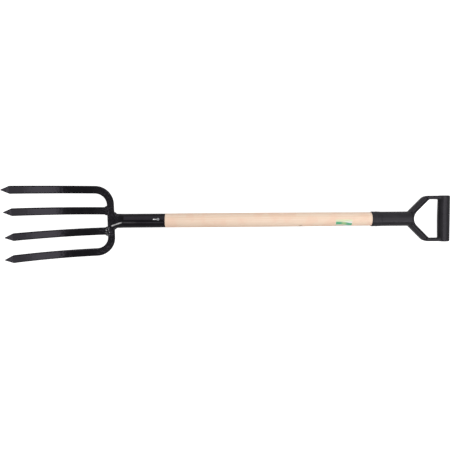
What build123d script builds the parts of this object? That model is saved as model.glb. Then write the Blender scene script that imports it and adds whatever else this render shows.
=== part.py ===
from build123d import *
from math import asin, cos, degrees, radians, sin, sqrt, tan
import os

os.makedirs("parts", exist_ok=True)

# A digging fork, lying on its back with its shaft along X.
# The tines point to -X and curve up, the D-grip is at +X, and Y runs across the fork.
# The origin is under the middle of its length, on the surface it lies on.
# All sizes are in millimetres.

# Head: four flat tines on a bent bar
tine_reach = 235.7            # crossbar's inner face to the tips of the outer tines
inner_tine_setback = 2.2      # the inner tines end this much sooner
tine_curve_radius = 430.0     # front faces of all four tines
outer_tine_width = 19.9
crossbar_width = 17.7         # along the fork, on the same bent bar
bar_thickness = 8.5           # its thickness at the crossbar
inner_tine_width = 19.3
shoulder_thickness = 6.0      # thickness of a tine where its point begins
point_length = 17.0           # along the shaft
point_width = 1.8             # blunt end of a point
point_thickness = 1.6
point_chamfer = 0.5
outer_tine_offset = 81.2      # middle of an outer tine from the fork's middle, at the crossbar
outer_tine_splay = 0.022      # sideways run of an outer tine for each millimetre of its length
inner_tine_offset = 26.45
inner_tine_splay = 0.021
inner_bend_radius = 30.0      # corner between crossbar and outer tine
edge_bevel = 2.4              # bevel along the long edges of the tines
front_above_axis = 3.6        # the crossbar's front face above the shaft's axis

# Socket: a tube pressed flat over the crossbar
socket_diameter = 36.6
socket_wall = 1.9
socket_overlap = 9.5          # how far the flattened end reaches over the crossbar
socket_flat_length = 27.6     # pressed wedge, crossbar to full round
socket_length = 134.0         # crossbar's outer edge to the mouth
socket_flat_width = 38.0      # width of the flattened end
flat_corner_radius = 5.0
crown_width = 1.6             # narrow end of each flattened facet, on the round tube
seam_width = 1.2
seam_depth = 0.6

# Welds
tine_weld_reach = 6.5         # along the tine, from the crossbar
tine_weld_outer_spread = 3.8  # beyond the tine's outer side
tine_weld_inner_spread = 2.2  # beyond its inner side
weld_crown = 1.3              # how far a weld stands above the faces it joins
weld_edge_radius = 3.0
socket_weld_reach = 5.0       # legs of the fillets beside the socket

# Shaft
shaft_length = 538.2          # visible wood, socket mouth to grip mouth
shaft_step = 0.4              # the wood at the socket's mouth is this much thicker than the socket
shaft_swell = 0.6             # the shaft is this much thicker again at its thickest
shaft_diameter_grip = 35.4
middle_share = 0.42           # where along the visible wood the shaft is thickest
tenon_clearance = 0.1         # radial gap between wood and tube or grip
socket_tenon_length = 98.0
grip_tenon_length = 86.0
grip_land_length = 12.0       # full-width wood inside the grip's collar
tenon_cone_length = 8.0
shaft_end_chamfer = 2.0

# Nail through the socket, and the dimple pressed beside it
nail_from_mouth = 17.2
nail_turn = 16.0              # degrees round the socket, from its front towards +Y
nail_head_diameter = 7.8
nail_head_height = 1.5
nail_shank_diameter = 4.0
nail_length = 27.0
nail_point_length = 4.0
nail_point_diameter = 0.8
nail_clearance = 0.1
nail_seat_depth = 0.7
dimple_from_nail = 8.4
dimple_depth = 0.8
dimple_radius = 12.0

# D-grip
grip_wall = 2.35              # of the tube round the shaft's tenon
collar_length = 24.0
collar_diameter = 38.8
bead_diameter = 39.6          # two soft beads round the collar
bead_width = 7.0
grip_tube_diameter = 37.8
grip_tube_length = 99.0       # grip mouth to the parting of the arms
arm_width = 15.6              # across a sloping arm, in plan
arm_thickness = 18.0
arm_flange_height = 4.5       # depth of the channel in the face of each arm
arm_edge_radius = 3.6
arm_side_width = 9.3          # beside the hand opening
opening_length = 64.0         # near end of the hand opening to the hand bar
opening_rim = 5.0             # wall between the tube's rounded end and the opening
opening_apex_radius = 26.0
opening_corner_radius = 7.0
arm_angle = 45.2              # degrees between an arm's edges and the shaft
arm_inset = 0.5               # the arms' sides lie this far inside the hand bar's ends
outer_bend_radius = 26.0
grip_width = 120.6
grip_turn = 4.0               # degrees the grip is set round from the head, its +Y side down
hand_bar_width = 31.0         # along the fork
hand_bar_thickness = 29.0
hand_bar_crown = 1.3          # the inner side bulges this much at mid-length
hand_bar_end_radius = 2.5     # rounding round each end of the hand bar
channel_outer_flange = 4.4
channel_inner_flange = 4.0
channel_share = 0.52          # middle of the channel, as a share of the arm's length
mouth_chamfer = 1.0           # at the grip's mouth
bead_gap = 2.5                # between the beads of the collar
tube_end_radius = 5.0         # rounding where the tube ends between the arms

# Screw in the back of the grip
screw_from_mouth = 50.0
screw_head_diameter = 7.6
screw_head_depth = 1.9
screw_shank_diameter = 3.8
screw_length = 17.0
screw_slot_length = 4.6
screw_slot_width = 1.1
screw_slot_depth = 0.9
screw_point = 1.5             # bevel round the screw's end
screw_clearance = 0.1

# Label
label_from_grip = 52.5        # end of the label to the grip's mouth
label_length = 42.0
label_thickness = 0.15
label_start = 88.0            # degrees round the shaft, from its +Y side over its front
label_turn = 215.0            # degrees of the shaft that it covers

# Stations along the fork, worked out from the sizes above
grip_tube_radius = grip_tube_diameter / 2
arm_tan = tan(radians(arm_angle))
arm_sin = sin(radians(arm_angle))
arm_cos = cos(radians(arm_angle))
apex_start = grip_tube_length + (arm_width - grip_tube_radius * arm_cos) / arm_sin
opening_start = apex_start + opening_apex_radius * (1 / arm_sin - 1)
overall_length = (
    tine_reach + crossbar_width + socket_length + shaft_length
    + opening_start + opening_length + hand_bar_width
)
bar_inner = tine_reach - overall_length / 2
bar_outer = bar_inner + crossbar_width
socket_round = bar_outer + socket_flat_length
socket_mouth = bar_outer + socket_length
grip_mouth = socket_mouth + shaft_length
opening_near = grip_mouth + opening_start
hand_bar_inner = opening_near + opening_length
grip_end = hand_bar_inner + hand_bar_width
axis_height = bead_diameter / 2

# Planes through the shaft's axis
level = Plane.XY.offset(axis_height)
side = Plane((0, 0, axis_height), x_dir=(1, 0, 0), z_dir=(0, -1, 0))


def across(station):
    """Plane square to the shaft at a station, with its own x across the fork and y up."""
    return Plane((station, 0, axis_height), x_dir=(0, 1, 0), z_dir=(1, 0, 0))


# Side view of every tine: front and back are arcs that start level at the crossbar's outer edge
shoulder = bar_inner - tine_reach + point_length
inner_shoulder = shoulder + inner_tine_setback
front_root = front_above_axis
back_root = front_above_axis - bar_thickness


def front_height(station):
    """Height of the tines' front faces above the shaft's axis."""
    run = bar_outer - station
    return front_root + tine_curve_radius - sqrt(tine_curve_radius**2 - run**2)


def lean(station):
    """Slope of the tines' front faces, as an angle."""
    return asin((bar_outer - station) / tine_curve_radius)


shoulder_run = bar_outer - shoulder
shoulder_back = front_height(shoulder) - shoulder_thickness / cos(lean(shoulder))
back_rise = shoulder_back - back_root
back_radius = (shoulder_run**2 + back_rise**2) / (2 * back_rise)
blank_height = axis_height + front_height(bar_inner - tine_reach) + bar_thickness


def back_height(station):
    """Height of the tines' back faces above the shaft's axis."""
    run = bar_outer - station
    return back_root + back_radius - sqrt(back_radius**2 - run**2)


def outer_middle(station):
    """Distance of an outer tine's middle from the fork's middle."""
    return outer_tine_offset + outer_tine_splay * (bar_inner - station)


def inner_middle(station):
    """Distance of an inner tine's middle from the fork's middle."""
    return inner_tine_offset + inner_tine_splay * (bar_inner - station)


def side_profile(tip_end, root_end):
    """Side view of the tines between two stations, on the plane named side."""
    middle = (tip_end + root_end) / 2
    with BuildSketch(side) as profile:
        with BuildLine():
            front = ThreePointArc(
                (tip_end, front_height(tip_end)),
                (middle, front_height(middle)),
                (root_end, front_height(root_end)),
            )
            back = ThreePointArc(
                (tip_end, back_height(tip_end)),
                (middle, back_height(middle)),
                (root_end, back_height(root_end)),
            )
            Line(front @ 0, back @ 0)
            Line(front @ 1, back @ 1)
        make_face()
    return profile.sketch


def bevel_edges(solid, ends):
    """Long edges of a tine: all but those that stand upright or lie in an end face."""
    def is_long(edge):
        middle = edge.position_at(0.5)
        in_end = any(abs(middle.X - end) < 0.01 for end in ends)
        upright = edge.position_at(0).Z - edge.position_at(1).Z
        flat_run = (edge.position_at(0) - edge.position_at(1)).length
        return not in_end and abs(upright) < 0.99 * flat_run
    return solid.edges().filter_by(is_long)


def point_face(station, reach, middle):
    """Blunt end of a tine's point, square to the shaft."""
    tip = bar_inner - reach
    height = (front_height(station) + back_height(station)) / 2
    height += (station - tip) * lean((station + tip) / 2)
    with BuildSketch(across(tip)) as face:
        with Locations((middle(tip), height)):
            Rectangle(point_width, point_thickness)
        chamfer(face.vertices(), point_chamfer)
    return face.sketch.face()


span = 2 * outer_middle(shoulder) + 2 * outer_tine_width
outer_side = outer_tine_width / 2
bow_profile = side_profile(shoulder, bar_outer)
bow_points = {}
for hand in (1, -1):
    bow_points[hand] = point_face(shoulder, tine_reach, lambda station: hand * outer_middle(station))

# The bent bar: crossbar and both outer tines
with BuildPart() as tine_bow:
    with BuildSketch(Plane.XY):
        with BuildLine():
            outline = FilletPolyline(
                (shoulder, -outer_middle(shoulder) - outer_side),
                (bar_outer, -outer_middle(bar_outer) - outer_side),
                (bar_outer, outer_middle(bar_outer) + outer_side),
                (shoulder, outer_middle(shoulder) + outer_side),
                radius=inner_bend_radius + crossbar_width,
            )
            inline = FilletPolyline(
                (shoulder, -outer_middle(shoulder) + outer_side),
                (bar_inner, -outer_middle(bar_inner) + outer_side),
                (bar_inner, outer_middle(bar_inner) - outer_side),
                (shoulder, outer_middle(shoulder) - outer_side),
                radius=inner_bend_radius,
            )
            Line(outline @ 0, inline @ 0)
            Line(outline @ 1, inline @ 1)
        make_face()
    extrude(amount=blank_height)
    extrude(bow_profile, amount=span, both=True, mode=Mode.INTERSECT)
    chamfer(bevel_edges(tine_bow, [shoulder]), edge_bevel)
    for end in tine_bow.faces().filter_by_position(Axis.X, shoulder - 0.01, shoulder + 0.01):
        loft([end, bow_points[1 if end.center().Y > 0 else -1]], ruled=True)
tine_bow.part.label = "tine_bow"
export_step(tine_bow.part, "parts/tine_bow.step")


def inner_tine(hand):
    """One straight inner tine, butted against the crossbar; hand is 1 for +Y, -1 for -Y."""
    half = inner_tine_width / 2
    reach = tine_reach - inner_tine_setback
    profile = side_profile(inner_shoulder, bar_inner)
    nose = point_face(inner_shoulder, reach, lambda station: hand * inner_middle(station))
    with BuildPart() as tine:
        with BuildSketch(Plane.XY):
            with BuildLine():
                Polyline(
                    (inner_shoulder, hand * inner_middle(inner_shoulder) - half),
                    (bar_inner, hand * inner_middle(bar_inner) - half),
                    (bar_inner, hand * inner_middle(bar_inner) + half),
                    (inner_shoulder, hand * inner_middle(inner_shoulder) + half),
                    close=True,
                )
            make_face()
        extrude(amount=blank_height)
        extrude(profile, amount=span, both=True, mode=Mode.INTERSECT)
        chamfer(bevel_edges(tine, [inner_shoulder, bar_inner]), edge_bevel)
        loft([tine.faces().sort_by(Axis.X)[0], nose], ruled=True)
        add(tine_bow.part, mode=Mode.SUBTRACT)
    return tine.part


inner_tine_left = inner_tine(1)
inner_tine_left.label = "inner_tine_left"
export_step(inner_tine_left, "parts/inner_tine_left.step")

inner_tine_right = inner_tine(-1)
inner_tine_right.label = "inner_tine_right"
export_step(inner_tine_right, "parts/inner_tine_right.step")

bar_middle_height = (front_root + back_root) / 2
weld_height = bar_thickness + 2 * weld_crown


def tine_weld(hand, tine):
    """Bead round the root of an inner tine, wrapped over the crossbar."""
    middle = hand * inner_middle(bar_inner)
    half = inner_tine_width / 2
    with BuildPart() as weld:
        with BuildSketch(level.offset(bar_middle_height - weld_height / 2)):
            with Locations((bar_inner, middle)):
                Polygon(
                    (-tine_weld_reach, hand * (half + weld_crown)),
                    (0, hand * (half + tine_weld_outer_spread)),
                    (weld_edge_radius, hand * (half + tine_weld_outer_spread)),
                    (tine_weld_reach, hand * (half - weld_crown)),
                    (tine_weld_reach, hand * (-half + weld_crown)),
                    (weld_edge_radius, hand * (-half - tine_weld_inner_spread)),
                    (0, hand * (-half - tine_weld_inner_spread)),
                    (-tine_weld_reach, hand * (-half - weld_crown)),
                    align=None,
                )
        extrude(amount=weld_height)
        fillet(weld.edges(), weld_edge_radius)
        add(tine_bow.part, mode=Mode.SUBTRACT)
        add(tine, mode=Mode.SUBTRACT)
    return weld.part


tine_weld_left = tine_weld(1, inner_tine_left)
tine_weld_left.label = "tine_weld_left"
export_step(tine_weld_left, "parts/tine_weld_left.step")

tine_weld_right = tine_weld(-1, inner_tine_right)
tine_weld_right.label = "tine_weld_right"
export_step(tine_weld_right, "parts/tine_weld_right.step")


def round_section(station, radius):
    """Circle in eight arcs: short ones at top, bottom and sides, to meet a flattened section."""
    crown = degrees(asin(crown_width / 2 / radius))
    with BuildSketch(across(station)) as section:
        with BuildLine():
            for quarter in range(4):
                start = 90 + 90 * quarter
                CenterArc((0, 0), radius, start - crown, 2 * crown)
                CenterArc((0, 0), radius, start + crown, 90 - 2 * crown)
        make_face()
    return section.sketch.face()


def flat_section(station, width, height, corner):
    """Flattened end of the socket: a rectangle with round corners, level with the crossbar."""
    side_run = width / 2 - corner
    rise = height / 2 - corner
    centre = bar_middle_height
    with BuildSketch(across(station)) as section:
        with BuildLine():
            Line((side_run, centre + height / 2), (-side_run, centre + height / 2))
            CenterArc((-side_run, centre + rise), corner, 90, 90)
            Line((-width / 2, centre + rise), (-width / 2, centre - rise))
            CenterArc((-side_run, centre - rise), corner, 180, 90)
            Line((-side_run, centre - height / 2), (side_run, centre - height / 2))
            CenterArc((side_run, centre - rise), corner, 270, 90)
            Line((width / 2, centre - rise), (width / 2, centre + rise))
            CenterArc((side_run, centre + rise), corner, 0, 90)
        make_face()
    return section.sketch.face()


socket_radius = socket_diameter / 2
bore_radius = socket_radius - socket_wall
flat_end = bar_outer - socket_overlap
flat_height = bar_thickness + 2 * socket_wall
nail_station = socket_mouth - nail_from_mouth
nail_seat = socket_radius - nail_seat_depth
dimple_station = nail_station - dimple_from_nail


def nail_plane(station, height):
    """Plane square to the nail, at a height above the shaft's axis."""
    lean_y = sin(radians(nail_turn))
    lean_z = cos(radians(nail_turn))
    return Plane(
        (station, height * lean_y, axis_height + height * lean_z),
        x_dir=(1, 0, 0),
        z_dir=(0, lean_y, lean_z),
    )


wedge_outside = [
    flat_section(flat_end, socket_flat_width, flat_height, flat_corner_radius),
    round_section(socket_round, socket_radius),
]
wedge_inside = [
    flat_section(
        flat_end,
        socket_flat_width - 2 * socket_wall,
        bar_thickness,
        flat_corner_radius - socket_wall,
    ),
    round_section(socket_round, bore_radius),
]

with BuildPart() as socket_tube:
    loft(wedge_outside, ruled=True)
    with BuildSketch(across(socket_round)):
        Circle(socket_radius)
    extrude(amount=socket_mouth - socket_round)
    loft(wedge_inside, ruled=True, mode=Mode.SUBTRACT)
    with BuildSketch(across(socket_round)):
        Circle(bore_radius)
    extrude(amount=socket_mouth - socket_round, mode=Mode.SUBTRACT)
    with BuildSketch(across(socket_round + socket_wall)):
        with Locations((0, -socket_radius)):
            Rectangle(seam_width, 2 * seam_depth)
    extrude(amount=socket_length, mode=Mode.SUBTRACT)
    with BuildSketch(nail_plane(nail_station, 0)):
        Circle(nail_shank_diameter / 2 + nail_clearance)
    extrude(amount=socket_diameter, mode=Mode.SUBTRACT)
    with BuildSketch(nail_plane(nail_station, nail_seat)):
        Circle(nail_head_diameter / 2 + nail_clearance)
    extrude(amount=socket_wall, mode=Mode.SUBTRACT)
    with Locations(nail_plane(dimple_station, socket_radius + dimple_radius - dimple_depth)):
        Sphere(dimple_radius, mode=Mode.SUBTRACT)
    add(tine_bow.part, mode=Mode.SUBTRACT)
socket_tube.part.label = "socket_tube"
export_step(socket_tube.part, "parts/socket_tube.step")


def socket_weld(hand):
    """Fillet in the corner between the socket's side and the crossbar."""
    inside = socket_flat_width / 2 - 2 * socket_wall
    outside = socket_flat_width / 2
    with BuildPart() as weld:
        with BuildSketch(level.offset(bar_middle_height - weld_height / 2)):
            with Locations((bar_outer, 0)):
                Polygon(
                    (-weld_edge_radius, hand * inside),
                    (-weld_edge_radius, hand * (outside + socket_weld_reach)),
                    (0, hand * (outside + socket_weld_reach)),
                    (socket_weld_reach, hand * (outside + weld_crown)),
                    (socket_weld_reach + weld_edge_radius, hand * inside),
                    align=None,
                )
        extrude(amount=weld_height)
        fillet(weld.edges(), weld_crown)
        add(tine_bow.part, mode=Mode.SUBTRACT)
        loft(wedge_outside, ruled=True, mode=Mode.SUBTRACT)
    return weld.part


socket_weld_left = socket_weld(1)
socket_weld_left.label = "socket_weld_left"
export_step(socket_weld_left, "parts/socket_weld_left.step")

socket_weld_right = socket_weld(-1)
socket_weld_right.label = "socket_weld_right"
export_step(socket_weld_right, "parts/socket_weld_right.step")

# Round-headed nail through the socket's front into the wood
with BuildPart() as socket_nail:
    with BuildSketch(nail_plane(nail_station, nail_seat)):
        Circle(nail_head_diameter / 2)
    extrude(amount=nail_seat_depth + nail_head_height)
    fillet(socket_nail.edges().sort_by(Axis.Z)[-1], nail_head_height)
    with BuildSketch(nail_plane(nail_station, nail_seat)):
        Circle(nail_shank_diameter / 2)
    extrude(amount=-nail_length)
    chamfer(
        socket_nail.edges().sort_by(Axis.Z)[0],
        nail_point_length,
        (nail_shank_diameter - nail_point_diameter) / 2,
    )
socket_nail.part.label = "socket_nail"
export_step(socket_nail.part, "parts/socket_nail.step")

# Screw in the back of the grip, with its countersunk head just inside the tube's surface
shaft_axis = Axis((0, 0, axis_height), (1, 0, 0))
screw_station = grip_mouth + screw_from_mouth
screw_face = sqrt(grip_tube_radius**2 - (screw_head_diameter / 2 + screw_clearance)**2)


def screw_body(gap, above):
    """Countersunk screw, grown by a gap and carried on outwards by a length above its head."""
    head = screw_head_diameter / 2 + gap
    shank = screw_shank_diameter / 2 + gap
    with BuildPart() as body:
        with BuildSketch(Plane((screw_station, 0, axis_height - screw_face), z_dir=(0, 0, 1))):
            Circle(head)
        with BuildSketch(
            Plane((screw_station, 0, axis_height - screw_face + screw_head_depth), z_dir=(0, 0, 1))
        ):
            Circle(shank)
        loft()
        if above > 0:
            with BuildSketch(Plane((screw_station, 0, axis_height - screw_face), z_dir=(0, 0, 1))):
                Circle(head)
            extrude(amount=-above)
        with BuildSketch(
            Plane((screw_station, 0, axis_height - screw_face + screw_head_depth), z_dir=(0, 0, 1))
        ):
            Circle(shank)
        extrude(amount=screw_length - screw_head_depth)
    return body.part


screw_solid = screw_body(0, 0)
turned_screw = screw_solid.rotate(shaft_axis, -grip_turn)
screw_hole = screw_body(screw_clearance, grip_tube_radius)

with BuildPart() as grip_screw:
    add(screw_solid)
    chamfer(grip_screw.edges().sort_by(Axis.Z)[-1], screw_point)
    with BuildSketch(Plane((screw_station, 0, axis_height - screw_face), z_dir=(0, 0, 1))):
        Rectangle(screw_slot_length, screw_slot_width)
        Rectangle(screw_slot_width, screw_slot_length)
    extrude(amount=screw_slot_depth, mode=Mode.SUBTRACT)
grip_screw_part = grip_screw.part.rotate(shaft_axis, -grip_turn)
grip_screw_part.label = "grip_screw"
export_step(grip_screw_part, "parts/grip_screw.step")

# Wooden shaft: a slim barrel with a tenon at each end
socket_tenon_radius = bore_radius - tenon_clearance
grip_bore_radius = grip_tube_radius - grip_wall
grip_tenon_radius = grip_bore_radius - tenon_clearance
shaft_diameter_socket = socket_diameter + shaft_step
shaft_diameter_middle = shaft_diameter_socket + shaft_swell
shaft_start = socket_mouth - socket_tenon_length
shaft_end = grip_mouth + grip_tenon_length
land_end = grip_mouth + grip_land_length
middle_station = socket_mouth + middle_share * shaft_length


def barrel_arc():
    """Edge of the visible wood, from the socket's mouth to the grip's mouth."""
    return ThreePointArc(
        (socket_mouth, shaft_diameter_socket / 2),
        (middle_station, shaft_diameter_middle / 2),
        (grip_mouth, shaft_diameter_grip / 2),
    )


with BuildPart() as handle_shaft:
    with BuildSketch(side):
        with BuildLine():
            barrel = barrel_arc()
            Polyline(
                barrel @ 0,
                (socket_mouth, socket_tenon_radius),
                (shaft_start + shaft_end_chamfer, socket_tenon_radius),
                (shaft_start, socket_tenon_radius - shaft_end_chamfer),
                (shaft_start, 0),
                (shaft_end, 0),
                (shaft_end, grip_tenon_radius - shaft_end_chamfer),
                (shaft_end - shaft_end_chamfer, grip_tenon_radius),
                (land_end + tenon_cone_length, grip_tenon_radius),
                (land_end, shaft_diameter_grip / 2),
                barrel @ 1,
            )
        make_face()
    revolve(axis=shaft_axis)
    add(socket_nail.part, mode=Mode.SUBTRACT)
    add(turned_screw, mode=Mode.SUBTRACT)
handle_shaft.part.label = "handle_shaft"
export_step(handle_shaft.part, "parts/handle_shaft.step")

# Thin label laid on the wood, following its barrel shape
label_end = grip_mouth - label_from_grip
label_plane = Plane(
    (0, 0, axis_height),
    x_dir=(1, 0, 0),
    z_dir=(0, -sin(radians(label_start)), cos(radians(label_start))),
)
with BuildPart() as shaft_label:
    with BuildSketch(label_plane):
        with BuildLine():
            lower = barrel_arc()
            offset(lower, amount=label_thickness, side=Side.LEFT)
        make_face()
        with Locations(((label_end - label_length / 2), 0)):
            Rectangle(label_length, overall_length, mode=Mode.INTERSECT)
    revolve(axis=shaft_axis, revolution_arc=label_turn)
shaft_label.part.label = "shaft_label"
export_step(shaft_label.part, "parts/shaft_label.step")

# D-grip: collar and tube, two channelled arms, and the hand bar
collar_radius = collar_diameter / 2
bead_radius = bead_diameter / 2
collar_end = grip_mouth + collar_length
tube_end = opening_near - opening_rim
parting = grip_mouth + grip_tube_length
arm_half = grip_width / 2 - arm_inset
bar_axis_station = hand_bar_inner + hand_bar_width / 2
apex = grip_mouth + apex_start
opening_half = arm_half - arm_side_width
channel_width = arm_width - channel_outer_flange - channel_inner_flange


def hand_bar_section(offside, half_width):
    """Oval across the hand bar; its outer side stays in line with the grip's end."""
    place = Plane((grip_end - half_width, offside, axis_height), x_dir=(1, 0, 0), z_dir=(0, -1, 0))
    with BuildSketch(place) as section:
        Ellipse(half_width, hand_bar_thickness / 2)
    return section.sketch.face()


hand_bar_sections = [
    hand_bar_section(-grip_width / 2, (hand_bar_width - hand_bar_crown) / 2),
    hand_bar_section(0, hand_bar_width / 2),
    hand_bar_section(grip_width / 2, (hand_bar_width - hand_bar_crown) / 2),
]
with BuildPart() as hand_bar:
    loft(hand_bar_sections)
    fillet(hand_bar.faces().filter_by(Axis.Y).edges(), hand_bar_end_radius)
channel_inset = channel_outer_flange + channel_width / 2
channel_length = (arm_half - grip_tube_radius) / arm_sin
channel_along = channel_length * channel_share

with BuildPart() as d_grip:
    # Arms, cut from a plate with rounded rims
    with BuildSketch(level.offset(-arm_thickness / 2)):
        with BuildLine():
            FilletPolyline(
                (bar_axis_station, -arm_half),
                (parting + (arm_half - grip_tube_radius) / arm_tan, -arm_half),
                (parting - grip_tube_radius / arm_tan, 0),
                (parting + (arm_half - grip_tube_radius) / arm_tan, arm_half),
                (bar_axis_station, arm_half),
                radius=outer_bend_radius,
            )
            Line((bar_axis_station, arm_half), (bar_axis_station, -arm_half))
        make_face()
        with BuildLine():
            FilletPolyline(
                (bar_axis_station, -opening_half),
                (apex + opening_half / arm_tan, -opening_half),
                (apex, 0),
                (apex + opening_half / arm_tan, opening_half),
                (bar_axis_station, opening_half),
                radius=[opening_corner_radius, opening_apex_radius, opening_corner_radius],
            )
            Line((bar_axis_station, opening_half), (bar_axis_station, -opening_half))
        make_face(mode=Mode.SUBTRACT)
    extrude(amount=arm_thickness)
    rims = d_grip.faces().filter_by(Axis.Z).edges()
    fillet(rims.filter_by(lambda edge: edge.center().X < bar_axis_station - 0.01), arm_edge_radius)
    # Channel in the front and back of each arm
    for hand in (1, -1):
        for face in (1, -1):
            station = parting + channel_along * arm_cos + channel_inset * arm_sin
            offside = grip_tube_radius + channel_along * arm_sin - channel_inset * arm_cos
            with BuildSketch(level.offset(face * arm_thickness / 2)):
                with Locations(Location((station, hand * offside, 0), (0, 0, hand * arm_angle))):
                    SlotOverall(channel_length, channel_width)
            extrude(amount=-face * arm_flange_height, mode=Mode.SUBTRACT)
    # Collar with its beads, and the tube up to its rounded end
    with BuildSketch(side):
        with BuildLine():
            mouth = Line((grip_mouth, 0), (grip_mouth, collar_radius - mouth_chamfer))
            lip = Line(mouth @ 1, (grip_mouth + mouth_chamfer, collar_radius))
            bead_end = lip @ 1
            for bead in range(2):
                rise = ThreePointArc(
                    bead_end,
                    bead_end + Vector(bead_width / 2, bead_radius - collar_radius),
                    bead_end + Vector(bead_width, 0),
                )
                flat = Line(rise @ 1, rise @ 1 + Vector(bead_gap, 0))
                bead_end = flat @ 1
            Polyline(
                bead_end,
                (collar_end, collar_radius),
                (collar_end + collar_radius - grip_tube_radius, grip_tube_radius),
                (tube_end - tube_end_radius, grip_tube_radius),
            )
            CenterArc(
                (tube_end - tube_end_radius, grip_tube_radius - tube_end_radius),
                tube_end_radius, 0, 90,
            )
            Polyline((tube_end, grip_tube_radius - tube_end_radius), (tube_end, 0), (grip_mouth, 0))
        make_face()
    revolve(axis=shaft_axis)
    add(hand_bar.part)
    # Bore for the shaft, and the screw's hole
    with BuildSketch(side):
        with BuildLine():
            Polyline(
                (grip_mouth, 0),
                (grip_mouth, shaft_diameter_grip / 2 + tenon_clearance),
                (land_end, shaft_diameter_grip / 2 + tenon_clearance),
                (land_end + tenon_cone_length, grip_bore_radius),
                (shaft_end + tenon_clearance, grip_bore_radius),
                (shaft_end + tenon_clearance, 0),
                close=True,
            )
        make_face()
    revolve(axis=shaft_axis, mode=Mode.SUBTRACT)
    add(screw_hole, mode=Mode.SUBTRACT)
d_grip_part = d_grip.part.rotate(shaft_axis, -grip_turn)
d_grip_part.label = "d_grip"
export_step(d_grip_part, "parts/d_grip.step")
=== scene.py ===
import math

import bpy
from bpy.props import (
    FloatProperty,
    FloatVectorProperty,
    IntProperty,
    PointerProperty,
    StringProperty,
)
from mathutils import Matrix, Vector


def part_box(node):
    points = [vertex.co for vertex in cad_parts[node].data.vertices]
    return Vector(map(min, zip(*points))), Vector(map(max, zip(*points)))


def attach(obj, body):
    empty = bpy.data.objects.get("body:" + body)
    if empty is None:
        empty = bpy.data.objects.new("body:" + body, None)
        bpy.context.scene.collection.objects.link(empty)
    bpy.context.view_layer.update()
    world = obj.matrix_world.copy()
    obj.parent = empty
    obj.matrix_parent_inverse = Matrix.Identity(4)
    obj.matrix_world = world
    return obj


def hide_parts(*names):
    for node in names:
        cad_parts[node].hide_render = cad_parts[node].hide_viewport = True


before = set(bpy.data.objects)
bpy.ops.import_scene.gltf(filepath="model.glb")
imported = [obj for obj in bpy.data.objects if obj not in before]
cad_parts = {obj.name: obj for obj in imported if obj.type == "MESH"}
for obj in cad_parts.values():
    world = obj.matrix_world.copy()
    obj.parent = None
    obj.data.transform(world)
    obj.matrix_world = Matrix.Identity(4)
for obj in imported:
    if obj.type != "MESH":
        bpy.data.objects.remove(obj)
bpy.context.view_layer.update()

bl_info = {
    "name": "Digging Fork",
    "version": (1, 0, 0),
    "blender": (4, 5, 0),
    "location": "View3D > Sidebar > Digging Fork",
    "description": "Finishes a packed digging fork: enamel, welds, wood, label, grip and studio",
    "category": "Object",
}

MM = 0.001
BODY = "root"

# Places on the fork, in metres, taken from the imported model
BAR_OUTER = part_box("tine_bow")[1][0]
SOCKET_LOW, SOCKET_HIGH = (Vector(corner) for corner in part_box("socket_tube"))
SHAFT_LOW, SHAFT_HIGH = (Vector(corner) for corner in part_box("handle_shaft"))
LABEL_LOW, LABEL_HIGH = (Vector(corner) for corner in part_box("shaft_label"))
NAIL_LOW, NAIL_HIGH = (Vector(corner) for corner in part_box("socket_nail"))
NAIL_SIDEWAYS = 5.2 * MM          # the nail leans this far towards +Y at the socket's surface
NAIL_TOP = Vector(((NAIL_LOW.x + NAIL_HIGH.x) / 2, NAIL_SIDEWAYS, NAIL_HIGH.z))
NAIL_HIGHLIGHT_LENGTH = 10.0 * MM        # of the painted highlight beside the nail
HEART_ASIDE, HEART_BELOW = 62 * MM, 18 * MM    # the tree's heart, outside the shaft
KNOT_BEFORE_LABEL = 91 * MM
AXIS_HEIGHT = (SHAFT_LOW.z + SHAFT_HIGH.z) / 2
SOCKET_RADIUS = (SOCKET_HIGH.y - SOCKET_LOW.y) / 2
SHAFT_RADIUS = (SHAFT_HIGH.y - SHAFT_LOW.y) / 2


# ---------------------------------------------------------------- settings


def colour_property(name, description, default):
    return StringProperty(name=name, description=description, default=default)


class EnamelSettings(bpy.types.PropertyGroup):
    """Black stoving enamel on the head and socket."""

    colour: colour_property("Enamel", "Colour of the black enamel", "#08080a")
    thin_colour: colour_property("Thin enamel", "Colour where the coat is thin", "#111012")
    roughness: FloatProperty(
        name="Roughness", description="Roughness of the enamel", default=0.1, min=0, max=1
    )
    shine: FloatProperty(
        name="Shine", description="Strength of the coat's mirroring", default=0.3, min=0, max=1
    )
    hammer_size: FloatProperty(
        name="Hammer marks", description="Width of one forging mark",
        default=5.5 * MM, min=0.5 * MM, unit="LENGTH",
    )
    grit_colour: colour_property("Grit", "Colour of grit under the coat", "#312f34")
    # colour of the painted highlights on the socket: its lower crease, along the tube and beside the nail
    highlight_colour: colour_property("Painted highlight", "Colour of the painted highlights", "#f2f2f3")


class WeldSettings(bpy.types.PropertyGroup):
    """Arc-welded beads under the enamel."""

    voxel: FloatProperty(
        name="Mesh size", description="Size of the mesh on a bead",
        default=0.55 * MM, min=0.2 * MM, unit="LENGTH",
    )
    ripple_size: FloatProperty(
        name="Ripple size", description="Distance between the lumps on a bead",
        default=3.2 * MM, min=0.5 * MM, unit="LENGTH",
    )
    ripple_height: FloatProperty(
        name="Ripple height", description="Height of the lumps on a bead",
        default=1.1 * MM, min=0, unit="LENGTH",
    )


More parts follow.
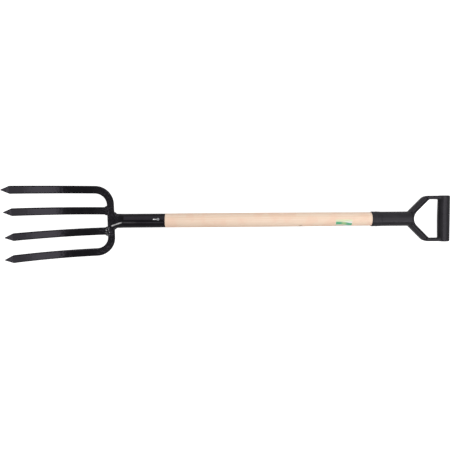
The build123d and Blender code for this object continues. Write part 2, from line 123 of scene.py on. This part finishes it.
class WoodSettings(bpy.types.PropertyGroup):
    """Sanded ash shaft."""

    early_colour: colour_property("Early wood", "Colour between the rings", "#fde5d1")
    late_colour: colour_property("Late wood", "Colour of the rings", "#f2d2b6")
    blush_colour: colour_property("Blush", "Colour of the pink blush", "#f6cfb6")
    knot_colour: colour_property("Knot", "Colour of the small knot", "#7c5640")
    ring_spacing: FloatProperty(
        name="Ring spacing", description="Distance between growth rings",
        default=2.6 * MM, min=0.5 * MM, unit="LENGTH",
    )
    fibre_width: FloatProperty(
        name="Fibre width", description="Width of one streak of grain",
        default=0.9 * MM, min=0.2 * MM, unit="LENGTH",
    )


class LabelSettings(bpy.types.PropertyGroup):
    """Printed film round the shaft, with no lettering."""

    ground: colour_property("Ground", "Colour of the film", "#eceeea")
    fade: colour_property("Fade", "Pale colour at the upper edge", "#dfe6b8")
    band: colour_property("Band", "Colour of the printed band", "#5fb488")


class GripSettings(bpy.types.PropertyGroup):
    """Moulded polypropylene D-grip."""

    colour: colour_property("Plastic", "Colour of the black plastic", "#232225")
    roughness: FloatProperty(
        name="Roughness", description="Roughness of the moulded skin", default=0.32, min=0, max=1
    )
    shine: FloatProperty(
        name="Shine", description="Strength of the skin's mirroring", default=0.3, min=0, max=1
    )
    voxel: FloatProperty(
        name="Mesh size", description="Size of the mesh on the grip",
        default=0.95 * MM, min=0.5 * MM, unit="LENGTH",
    )
    softening: IntProperty(
        name="Softening", description="Passes that round the moulded edges", default=5, min=0
    )


class MetalSettings(bpy.types.PropertyGroup):
    """Zinc-plated nail and screw."""

    colour: colour_property("Zinc", "Colour of the plating", "#a3a4a7")
    roughness: FloatProperty(
        name="Roughness", description="Roughness of the plating", default=0.38, min=0, max=1
    )


class StageSettings(bpy.types.PropertyGroup):
    """Floor, lights and camera."""

    camera_place: FloatVectorProperty(
        name="Camera place", description="Where the camera stands",
        default=(-0.0310, 0.1306, 1.2146), subtype="TRANSLATION", unit="LENGTH",
    )
    camera_turn: FloatVectorProperty(
        name="Camera turn", description="How the camera is turned",
        default=(math.radians(-6.857), math.radians(-0.403), math.radians(-0.397)),
        subtype="EULER", unit="ROTATION",
    )
    focal_length: FloatProperty(
        name="Focal length", description="Focal length in millimetres on a 36 mm sensor",
        default=36.64, min=1,
    )
    floor_glow: FloatProperty(
        name="Floor glow", description="Light that the pale table sends to the camera", default=0.9, min=0
    )
    fill: FloatProperty(
        name="Fill", description="Brightness of the room round the table", default=0.32, min=0
    )


SETTINGS = {
    "fork_enamel": EnamelSettings,
    "fork_weld": WeldSettings,
    "fork_wood": WoodSettings,
    "fork_label": LabelSettings,
    "fork_grip": GripSettings,
    "fork_metal": MetalSettings,
    "fork_stage": StageSettings,
}


# ---------------------------------------------------------------- tools for materials


def linear(hex_colour):
    """sRGB hex as a linear RGBA tuple."""
    parts = [int(hex_colour[i:i + 2], 16) / 255 for i in (1, 3, 5)]
    return tuple(
        p / 12.92 if p <= 0.04045 else ((p + 0.055) / 1.055) ** 2.4 for p in parts
    ) + (1.0,)


def add_node(tree, kind, inputs=None, stops=None, **settings):
    """Adds a node: settings are its attributes, inputs its values or links, stops a ramp's colours."""
    made = tree.nodes.new(kind)
    for name, value in settings.items():
        setattr(made, name, value)
    if stops:
        elements = made.color_ramp.elements
        while len(elements) < len(stops):
            elements.new(1.0)
        for element, (place, colour) in zip(elements, stops):
            element.position = place
            element.color = colour
    for key, value in (inputs or {}).items():
        if isinstance(value, bpy.types.NodeSocket):
            tree.links.new(value, made.inputs[key])
        else:
            made.inputs[key].default_value = value
    return made


def start_material(name, **values):
    """Material with a Principled shader, and the Object coordinates that its patterns read."""
    material = bpy.data.materials.new(name)
    material.use_nodes = True
    tree = material.node_tree
    shader = tree.nodes["Principled BSDF"]
    for key, value in values.items():
        shader.inputs[key.replace("_", " ")].default_value = value
    place = add_node(tree, "ShaderNodeTexCoord").outputs["Object"]
    return material, tree, shader, place


def math_node(tree, operation, first, second=0.0, third=0.0, **settings):
    return add_node(
        tree, "ShaderNodeMath", {0: first, 1: second, 2: third}, operation=operation, **settings
    ).outputs[0]


def remap(tree, value, low, high, to_low, to_high):
    """Straight change of range, held at both ends."""
    return add_node(
        tree,
        "ShaderNodeMapRange",
        {"Value": value, "From Min": low, "From Max": high, "To Min": to_low, "To Max": to_high},
    ).outputs["Result"]


def off_axis(tree, first, second):
    """Length of two parts of a place taken together."""
    squares = math_node(tree, "MULTIPLY", first, first)
    return math_node(tree, "SQRT", math_node(tree, "MULTIPLY_ADD", second, second, squares))


def range_mask(tree, value, low, high):
    """0 at low, 1 at high, smooth between."""
    return add_node(
        tree,
        "ShaderNodeMapRange",
        {"Value": value, "From Min": low, "From Max": high},
        interpolation_type="SMOOTHSTEP",
    ).outputs["Result"]


def mix_colour(tree, share, first, second):
    made = add_node(tree, "ShaderNodeMix", {"Factor": share}, data_type="RGBA")
    for socket, value in ((made.inputs[6], first), (made.inputs[7], second)):
        if isinstance(value, bpy.types.NodeSocket):
            tree.links.new(value, socket)
        else:
            socket.default_value = value
    return made.outputs[2]


def noise(tree, place, size, detail=3.0, roughness=0.5):
    """Noise whose lumps are about size metres wide."""
    return add_node(
        tree,
        "ShaderNodeTexNoise",
        {"Vector": place, "Scale": 1 / size, "Detail": detail, "Roughness": roughness},
    ).outputs["Fac"]


def bump(tree, height, distance, strength=1.0, below=None):
    inputs = {"Height": height, "Distance": distance, "Strength": strength}
    if below is not None:
        inputs["Normal"] = below
    return add_node(tree, "ShaderNodeBump", inputs).outputs["Normal"]


def near_line(tree, place, start, end, width):
    """1 on the line from start to end, falling to 0 at width from it."""
    start, end = Vector(start), Vector(end)
    run = end - start
    turn = run.to_track_quat("X", "Z").to_euler()
    along = add_node(
        tree,
        "ShaderNodeMapping",
        {"Vector": place, "Location": start, "Rotation": turn},
        vector_type="TEXTURE",
    ).outputs[0]
    split = add_node(tree, "ShaderNodeSeparateXYZ", {0: along}).outputs
    beside = range_mask(tree, off_axis(tree, split["Y"], split["Z"]), width, width * 0.35)
    length = run.length
    first = range_mask(tree, split["X"], 0.0, length * 0.12)
    last = range_mask(tree, split["X"], length, length * 0.6)
    return math_node(tree, "MULTIPLY", math_node(tree, "MULTIPLY", first, last), beside)


# ---------------------------------------------------------------- materials


def enamel(settings, name="black_stoving_enamel_on_forged_steel", rough=0.0):
    """Enamel dipped or sprayed on black forged steel: satin, with hammer marks showing through."""
    material, tree, shader, place = start_material(name, IOR=1.5)
    # a thin dull coat mirrors about half of what a thick one would
    shader.inputs["Specular IOR Level"].default_value = settings.shine
    shader.inputs["Specular Tint"].default_value = linear("#f4ecff")
    mottle = noise(tree, place, 14 * MM, 4.0)
    fine = noise(tree, place, 1.6 * MM, 2.0)
    # the coat is thinner on the high spots, which shows as a slightly lighter, warmer black
    colour = mix_colour(
        tree, range_mask(tree, mottle, 0.4, 0.7), linear(settings.colour), linear(settings.thin_colour)
    )
    split = add_node(tree, "ShaderNodeSeparateXYZ", {0: place}).outputs
    # hammer marks are strong on the crossbar and its bends, and fade out along the tines
    forged = range_mask(tree, split["X"], BAR_OUTER - 62 * MM, BAR_OUTER - 22 * MM)
    smooth_again = range_mask(tree, split["X"], BAR_OUTER + 26 * MM, BAR_OUTER + 6 * MM)
    marks_share = math_node(tree, "MULTIPLY", forged, smooth_again)
    marks_share = math_node(
        tree, "MULTIPLY_ADD", marks_share, 0.9 - rough, 0.06 + rough, use_clamp=True
    )
    marks = add_node(
        tree,
        "ShaderNodeTexVoronoi",
        {"Vector": place, "Scale": 1 / settings.hammer_size, "Randomness": 1.0},
        feature="SMOOTH_F1",
    ).outputs["Distance"]
    # grit from the forge and the welding, caught under the coat where it was hammered
    grit = math_node(tree, "MULTIPLY", range_mask(tree, fine, 0.48, 0.66), marks_share)
    colour = mix_colour(tree, grit, colour, linear(settings.grit_colour))
    marks = math_node(tree, "MULTIPLY", marks, marks_share)
    waves = bump(tree, mottle, 0.3 * MM, 0.3)
    hammered = bump(tree, marks, 1.7 * MM, 0.85, waves)
    skin = bump(tree, fine, 0.04 * MM, 0.5, hammered)
    tree.links.new(skin, shader.inputs["Normal"])
    gloss = remap(tree, mottle, 0.3, 0.7, settings.roughness - 0.02, settings.roughness + 0.05)
    tree.links.new(colour, shader.inputs["Base Color"])
    tree.links.new(gloss, shader.inputs["Roughness"])
    return material, tree, shader, place, colour


def socket_enamel(settings):
    """The same enamel on the pressed socket, with painted highlights on the lower crease, along the tube and
    beside the nail.
    """
    material, tree, shader, place, colour = enamel(
        settings, "black_enamel_on_pressed_tube_painted_highlights"
    )
    # painted highlight along the lower crease of the flattened end, and a faint painted highlight going on
    # along the tube
    crease = near_line(
        tree,
        place,
        (BAR_OUTER - 8.5 * MM, -13.6 * MM, AXIS_HEIGHT + 5.8 * MM),
        (BAR_OUTER + 26.0 * MM, -1.4 * MM, AXIS_HEIGHT + SOCKET_RADIUS - 0.5 * MM),
        2.7 * MM,
    )
    ridge_highlight = near_line(
        tree,
        place,
        (BAR_OUTER + 16.0 * MM, -2.8 * MM, AXIS_HEIGHT + SOCKET_RADIUS - 0.4 * MM),
        (BAR_OUTER + 66.0 * MM, -2.8 * MM, AXIS_HEIGHT + SOCKET_RADIUS - 0.4 * MM),
        3.0 * MM,
    )
    # painted highlight from the dimple up to the nail, standing in for the glint there
    nail_highlight = near_line(
        tree,
        place,
        (NAIL_LOW.x - NAIL_HIGHLIGHT_LENGTH, NAIL_TOP.y, NAIL_TOP.z - 2.2 * MM),
        (NAIL_LOW.x + 6.0 * MM, NAIL_TOP.y, NAIL_TOP.z - 1.6 * MM),
        1.9 * MM,
    )
    # noise that breaks up the painted highlight on the crease
    highlight_breakup = noise(tree, place, 1.2 * MM, 2.0)
    crease = math_node(tree, "MULTIPLY", crease, range_mask(tree, highlight_breakup, 0.1, 0.4))
    painted_highlight = math_node(tree, "MAXIMUM", crease, nail_highlight)
    painted_highlight = math_node(tree, "MAXIMUM", painted_highlight, math_node(tree, "MULTIPLY", ridge_highlight, 0.03))
    # painted highlights: near-white colour with a little metallic
    tree.links.new(
        mix_colour(tree, painted_highlight, colour, linear(settings.highlight_colour)), shader.inputs["Base Color"]
    )
    tree.links.new(
        math_node(tree, "MULTIPLY", painted_highlight, 0.2), shader.inputs["Metallic"]
    )
    return material


def weld_enamel(settings):
    """The same enamel over the rough welds, with painted highlight specks on the -Y side."""
    material, tree, shader, place, colour = enamel(
        settings, "black_enamel_over_arc_weld", rough=0.6
    )
    split = add_node(tree, "ShaderNodeSeparateXYZ", {0: place}).outputs
    # painted highlight: light grey specks in place of the glints on the welds, only on the -Y side
    weld_glints = range_mask(tree, noise(tree, place, 2.4 * MM, 2.0), 0.56, 0.64)
    weld_glints = math_node(tree, "MULTIPLY", weld_glints, range_mask(tree, split["Y"], -12 * MM, -20 * MM))
    colour = mix_colour(tree, weld_glints, colour, linear("#b4b4b6"))
    tree.links.new(colour, shader.inputs["Base Color"])
    return material


def zinc(settings):
    """Zinc plating, dulled by handling: a soft grey shine."""
    material, tree, shader, place = start_material("zinc_plated_steel", Metallic=1.0)
    cloud = noise(tree, place, 2.5 * MM, 3.0)
    colour = mix_colour(tree, cloud, linear(settings.colour), linear("#85878b"))
    tree.links.new(colour, shader.inputs["Base Color"])
    gloss = remap(tree, cloud, 0, 1, settings.roughness - 0.1, settings.roughness + 0.12)
    tree.links.new(gloss, shader.inputs["Roughness"])
    tree.links.new(bump(tree, noise(tree, place, 0.8 * MM), 0.05 * MM, 0.6), shader.inputs["Normal"])
    return material


def wood(settings):
    """Ash, turned and sanded, no varnish: pale, matt, with faint rings and fine long grain."""
    material, tree, shader, place = start_material("sanded_ash", Roughness=0.62, IOR=1.45)
    # rings of a tree whose heart lies outside the shaft, gently warped along the grain
    stretched = add_node(
        tree, "ShaderNodeMapping", {"Vector": place, "Scale": (0.04, 1.0, 1.0)}
    ).outputs[0]
    warp = noise(tree, stretched, 22 * MM, 2.0)
    split = add_node(tree, "ShaderNodeSeparateXYZ", {0: place}).outputs
    from_heart_y = math_node(tree, "ADD", split["Y"], HEART_ASIDE)
    from_heart_z = math_node(tree, "ADD", split["Z"], HEART_BELOW)
    distance = off_axis(tree, from_heart_y, from_heart_z)
    distance = math_node(tree, "MULTIPLY_ADD", warp, 9 * MM, distance)
    ring = math_node(tree, "FRACT", math_node(tree, "DIVIDE", distance, settings.ring_spacing))
    ring = math_node(tree, "MULTIPLY", range_mask(tree, ring, 0.25, 0.9), range_mask(tree, ring, 1.0, 0.93))
    fibre_place = add_node(
        tree, "ShaderNodeMapping", {"Vector": place, "Scale": (0.012, 1.0, 1.0)}
    ).outputs[0]
    fibre = noise(tree, fibre_place, settings.fibre_width, 3.0, 0.6)
    patches = noise(tree, stretched, 9 * MM, 2.0)
    tone = math_node(tree, "MULTIPLY_ADD", ring, 0.35, math_node(tree, "MULTIPLY", fibre, 0.55))
    tone = math_node(tree, "MULTIPLY_ADD", patches, 0.3, tone)
    colour = mix_colour(
        tree,
        range_mask(tree, tone, 0.15, 1.0),
        linear(settings.early_colour),
        linear(settings.late_colour),
    )
    # faint pink blush, as fresh ash shows across the grain
    blush = range_mask(tree, noise(tree, place, 30 * MM, 3.0), 0.45, 0.65)
    colour = mix_colour(tree, math_node(tree, "MULTIPLY", blush, 0.5), colour, linear(settings.blush_colour))
    # one small knot on the lower side
    middle = Vector((LABEL_LOW.x - KNOT_BEFORE_LABEL, -SHAFT_RADIUS * 0.86, AXIS_HEIGHT + SHAFT_RADIUS * 0.5))
    knot_place = add_node(
        tree,
        "ShaderNodeMapping",
        {"Vector": place, "Location": middle, "Scale": (1.7, 1.0, 1.0)},
        vector_type="TEXTURE",
    ).outputs[0]
    away = add_node(tree, "ShaderNodeVectorMath", {0: knot_place}, operation="LENGTH").outputs["Value"]
    knot = range_mask(tree, away, 4.6 * MM, 1.2 * MM)
    colour = mix_colour(tree, math_node(tree, "MULTIPLY", knot, 0.8), colour, linear(settings.knot_colour))
    tree.links.new(colour, shader.inputs["Base Color"])
    tree.links.new(bump(tree, fibre, 0.08 * MM, 0.5), shader.inputs["Normal"])
    return material


def label_film(settings):
    """Printed polypropylene film: smooth, a little glossy, a green sweep on an off-white ground."""
    material, tree, shader, place = start_material("printed_polypropylene_film", Roughness=0.34)
    split = add_node(tree, "ShaderNodeSeparateXYZ", {0: place}).outputs
    up = math_node(tree, "SUBTRACT", split["Z"], AXIS_HEIGHT)
    down_side = math_node(tree, "MULTIPLY", split["Y"], -1.0)
    angle = math_node(tree, "DEGREES", math_node(tree, "ARCTAN2", down_side, up))
    along = range_mask(tree, split["X"], LABEL_LOW.x, LABEL_HIGH.x)
    dip = math_node(tree, "MULTIPLY", math_node(tree, "POWER", along, 2.0), 15.0)
    level = math_node(tree, "SUBTRACT", angle, dip)
    band = math_node(
        tree, "MULTIPLY", range_mask(tree, level, 11.0, 17.0), range_mask(tree, level, 44.0, 38.0)
    )
    hump = math_node(tree, "ABSOLUTE", math_node(tree, "SUBTRACT", along, 0.5))
    paler = mix_colour(tree, range_mask(tree, hump, 0.35, 0.05), linear(settings.band), linear("#a6c98e"))
    fade = range_mask(tree, angle, 24.0, 2.0)
    ground = mix_colour(
        tree, range_mask(tree, along, 0.3, 0.7), linear("#ecdccb"), linear(settings.ground)
    )
    colour = mix_colour(tree, fade, ground, linear(settings.fade))
    colour = mix_colour(tree, band, colour, paler)
    tree.links.new(colour, shader.inputs["Base Color"])
    wrinkle = noise(tree, place, 6 * MM, 2.0)
    tree.links.new(bump(tree, wrinkle, 0.1 * MM, 0.4), shader.inputs["Normal"])
    return material


def grip_plastic(settings):
    """Injection-moulded polypropylene with a fine spark-eroded skin: dark grey with a soft sheen."""
    material, tree, shader, place = start_material("moulded_black_polypropylene", IOR=1.49)
    shader.inputs["Specular IOR Level"].default_value = settings.shine
    shader.inputs["Specular Tint"].default_value = linear("#f8f3ff")
    cloud = noise(tree, place, 18 * MM, 3.0)
    skin = noise(tree, place, 0.9 * MM, 2.0, 0.6)
    colour = mix_colour(tree, range_mask(tree, cloud, 0.35, 0.7), linear(settings.colour), linear("#28272a"))
    gloss = remap(tree, cloud, 0, 1, settings.roughness - 0.06, settings.roughness + 0.08)
    tree.links.new(colour, shader.inputs["Base Color"])
    tree.links.new(gloss, shader.inputs["Roughness"])
    tree.links.new(bump(tree, skin, 0.06 * MM, 0.6), shader.inputs["Normal"])
    return material


# ---------------------------------------------------------------- tools for pieces


def deselect_all():
    if bpy.context.object and bpy.context.object.mode != "OBJECT":
        bpy.ops.object.mode_set(mode="OBJECT")
    bpy.ops.object.select_all(action="DESELECT")


def make_active(piece):
    deselect_all()
    piece.select_set(True)
    bpy.context.view_layer.objects.active = piece


def finish_node(name, material):
    """Gives a CAD node its finish through its own object's slot."""
    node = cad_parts[name]
    if not node.material_slots:
        node.data.materials.append(None)
    for slot in node.material_slots:
        slot.link = "OBJECT"
        slot.material = material
    return node


def copy_node(name, new_name):
    """A merged copy of a CAD node, as a piece of its own."""
    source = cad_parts[name]
    piece = source.copy()
    piece.data = source.data.copy()
    piece.name = new_name
    piece.data.name = new_name
    piece.parent = None
    for key in list(piece.keys()):
        if key.startswith("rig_"):
            del piece[key]
    bpy.context.scene.collection.objects.link(piece)
    make_active(piece)
    bpy.ops.object.mode_set(mode="EDIT")
    bpy.ops.mesh.select_all(action="SELECT")
    bpy.ops.mesh.remove_doubles(threshold=0.002 * MM)
    bpy.ops.mesh.normals_make_consistent(inside=False)
    bpy.ops.object.mode_set(mode="OBJECT")
    if piece.data.has_custom_normals:
        bpy.ops.mesh.customdata_custom_splitnormals_clear()
    return piece


def apply_modifier(piece, kind, **settings):
    make_active(piece)
    modifier = piece.modifiers.new(kind.lower(), kind)
    for name, value in settings.items():
        setattr(modifier, name, value)
    bpy.ops.object.modifier_apply(modifier=modifier.name)


def set_material(piece, material):
    piece.data.materials.clear()
    piece.data.materials.append(material)


def roughen_weld(piece, settings, height=1.0):
    """Even mesh, then lumps as an arc weld leaves them."""
    apply_modifier(piece, "REMESH", mode="VOXEL", voxel_size=settings.voxel)
    apply_modifier(piece, "SMOOTH", factor=0.5, iterations=4)
    texture = bpy.data.textures.new("weld_lumps", "CLOUDS")
    texture.noise_scale = settings.ripple_size
    texture.noise_depth = 2
    apply_modifier(
        piece, "DISPLACE", texture=texture, texture_coords="LOCAL",
        strength=settings.ripple_height * height, mid_level=0.55,
    )
    apply_modifier(piece, "SMOOTH", factor=0.3, iterations=1)
    make_active(piece)
    bpy.ops.object.shade_smooth()


# ---------------------------------------------------------------- operators


class ForkOperator:
    bl_options = {"REGISTER", "UNDO"}


class FORK_OT_head(ForkOperator, bpy.types.Operator):
    """Finish the crossbar, the tines and the socket in black enamel"""

    bl_idname = "fork.head"
    bl_label = "Tines and Socket"

    def execute(self, context):
        settings = context.scene.fork_enamel
        material = enamel(settings)[0]
        for name in ("tine_bow", "inner_tine_left", "inner_tine_right"):
            finish_node(name, material)
        finish_node("socket_tube", socket_enamel(settings))
        return {"FINISHED"}


class FORK_OT_welds(ForkOperator, bpy.types.Operator):
    """Model the rough weld beads that join the tines and the socket to the crossbar"""

    bl_idname = "fork.welds"
    bl_label = "Weld Beads"

    def execute(self, context):
        settings = context.scene.fork_weld
        material = weld_enamel(context.scene.fork_enamel)
        for name in ("tine_weld_left", "tine_weld_right", "socket_weld_left", "socket_weld_right"):
            piece = copy_node(name, name + "_bead")
            roughen_weld(piece, settings)
            set_material(piece, material)
            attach(piece, BODY)
            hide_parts(name)
        return {"FINISHED"}


class FORK_OT_fixings(ForkOperator, bpy.types.Operator):
    """Finish the nail in the socket and the screw in the grip"""

    bl_idname = "fork.fixings"
    bl_label = "Nail and Screw"

    def execute(self, context):
        material = zinc(context.scene.fork_metal)
        finish_node("socket_nail", material)
        finish_node("grip_screw", material)
        return {"FINISHED"}


class FORK_OT_shaft(ForkOperator, bpy.types.Operator):
    """Finish the shaft in sanded ash"""

    bl_idname = "fork.shaft"
    bl_label = "Shaft"

    def execute(self, context):
        finish_node("handle_shaft", wood(context.scene.fork_wood))
        return {"FINISHED"}


class FORK_OT_label(ForkOperator, bpy.types.Operator):
    """Finish the printed label"""

    bl_idname = "fork.label"
    bl_label = "Label"

    def execute(self, context):
        finish_node("shaft_label", label_film(context.scene.fork_label))
        return {"FINISHED"}


class FORK_OT_grip(ForkOperator, bpy.types.Operator):
    """Model the moulded D-grip, with the soft edges that a mould leaves"""

    bl_idname = "fork.grip"
    bl_label = "D-Grip"

    def execute(self, context):
        settings = context.scene.fork_grip
        piece = copy_node("d_grip", "d_grip_moulding")
        apply_modifier(piece, "REMESH", mode="VOXEL", voxel_size=settings.voxel)
        apply_modifier(piece, "SMOOTH", factor=0.5, iterations=settings.softening)
        make_active(piece)
        bpy.ops.object.shade_smooth()
        set_material(piece, grip_plastic(settings))
        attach(piece, BODY)
        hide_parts("d_grip")
        return {"FINISHED"}


class FORK_OT_stage(ForkOperator, bpy.types.Operator):
    """Set the table, the soft lights and the camera"""

    bl_idname = "fork.stage"
    bl_label = "Stage"

    def softbox(self, name, place, aim, size, brightness):
        """Rectangular soft light; brightness is what a mirror facing it would show."""
        light = bpy.data.lights.new(name, "AREA")
        light.shape = "RECTANGLE"
        light.size, light.size_y = size
        light.energy = brightness * math.pi * size[0] * size[1]
        lamp = bpy.data.objects.new(name, light)
        lamp.location = place
        lamp.rotation_euler = (Vector(aim) - Vector(place)).to_track_quat("-Z", "Y").to_euler()
        bpy.context.scene.collection.objects.link(lamp)
        return lamp

    def execute(self, context):
        settings = context.scene.fork_stage
        scene = context.scene
        scene.view_settings.view_transform = "Standard"
        scene.view_settings.look = "None"

        deselect_all()
        bpy.ops.mesh.primitive_plane_add(size=30.0, location=(0, 0, -0.0002))
        floor = context.object
        floor.name = "table"
        table, tree, shader, _ = start_material("white_table", Roughness=0.9)
        shader.inputs["Base Color"].default_value = linear("#c4c4c4")
        shader.inputs["Emission Color"].default_value = (1.0, 1.0, 1.0, 1.0)
        # burnt out to white for the camera, and calm enough not to ring the fork with light
        path = add_node(tree, "ShaderNodeLightPath")
        glow = math_node(tree, "MULTIPLY", path.outputs["Is Camera Ray"], settings.floor_glow)
        tree.links.new(glow, shader.inputs["Emission Strength"])
        set_material(floor, table)

        world = bpy.data.worlds.new("studio")
        world.use_nodes = True
        tree = world.node_tree
        room = tree.nodes["Background"]
        room.inputs["Color"].default_value = (1.0, 1.0, 1.0, 1.0)
        room.inputs["Strength"].default_value = settings.fill
        seen = add_node(tree, "ShaderNodeBackground", {"Strength": 1.0})
        seen.inputs["Color"].default_value = (1.0, 1.0, 1.0, 1.0)
        path = add_node(tree, "ShaderNodeLightPath")
        both = add_node(
            tree,
            "ShaderNodeMixShader",
            {0: path.outputs["Is Camera Ray"], 1: room.outputs[0], 2: seen.outputs[0]},
        )
        tree.links.new(both.outputs[0], tree.nodes["World Output"].inputs["Surface"])
        scene.world = world

        self.softbox("softbox_right", (0.77, -0.1, 1.52), (0.77, -0.1, 0.0), (1.58, 1.5), 1.25)
        self.softbox("softbox_middle", (0.19, -0.1, 1.50), (0.19, -0.1, 0.0), (0.42, 1.5), 1.05)
        self.softbox("softbox_back", (0.0, 1.55, 1.25), (0.0, 0.0, 0.0), (2.4, 2.4), 0.85)
        self.softbox("strip_front", (0.75, -1.08, 1.35), (0.45, 0.0, 0.0), (1.2, 0.32), 4.6)
        self.softbox("strip_head", (-0.45, -0.70, 1.35), (-0.3, 0.0, 0.0), (1.1, 0.30), 1.3)

        camera = bpy.data.cameras.new("camera")
        camera.sensor_fit = "HORIZONTAL"
        camera.sensor_width = 36.0
        camera.lens = settings.focal_length
        camera.clip_start = 0.01
        camera.clip_end = 100.0
        viewer = bpy.data.objects.new("camera", camera)
        viewer.location = settings.camera_place
        viewer.rotation_euler = settings.camera_turn
        scene.collection.objects.link(viewer)
        scene.camera = viewer
        return {"FINISHED"}


class FORK_PT_panel(bpy.types.Panel):
    """Buttons for each piece of the fork and for the stage"""

    bl_idname = "FORK_PT_panel"
    bl_label = "Digging Fork"
    bl_space_type = "VIEW_3D"
    bl_region_type = "UI"
    bl_category = "Digging Fork"

    def draw(self, context):
        for operator in OPERATORS:
            self.layout.operator(operator.bl_idname)


OPERATORS = (
    FORK_OT_head,
    FORK_OT_welds,
    FORK_OT_fixings,
    FORK_OT_shaft,
    FORK_OT_label,
    FORK_OT_grip,
    FORK_OT_stage,
)


def register():
    for group in SETTINGS.values():
        bpy.utils.register_class(group)
    for name, group in SETTINGS.items():
        setattr(bpy.types.Scene, name, PointerProperty(type=group))
    for operator in OPERATORS:
        bpy.utils.register_class(operator)
    bpy.utils.register_class(FORK_PT_panel)


def unregister():
    bpy.utils.unregister_class(FORK_PT_panel)
    for operator in reversed(OPERATORS):
        bpy.utils.unregister_class(operator)
    for name in SETTINGS:
        delattr(bpy.types.Scene, name)
    for group in reversed(list(SETTINGS.values())):
        bpy.utils.unregister_class(group)


def main():
    register()
    bpy.ops.fork.head()
    bpy.ops.fork.welds()
    bpy.ops.fork.fixings()
    bpy.ops.fork.shaft()
    bpy.ops.fork.label()
    bpy.ops.fork.grip()
    bpy.ops.fork.stage()


if __name__ == "__main__":
    main()
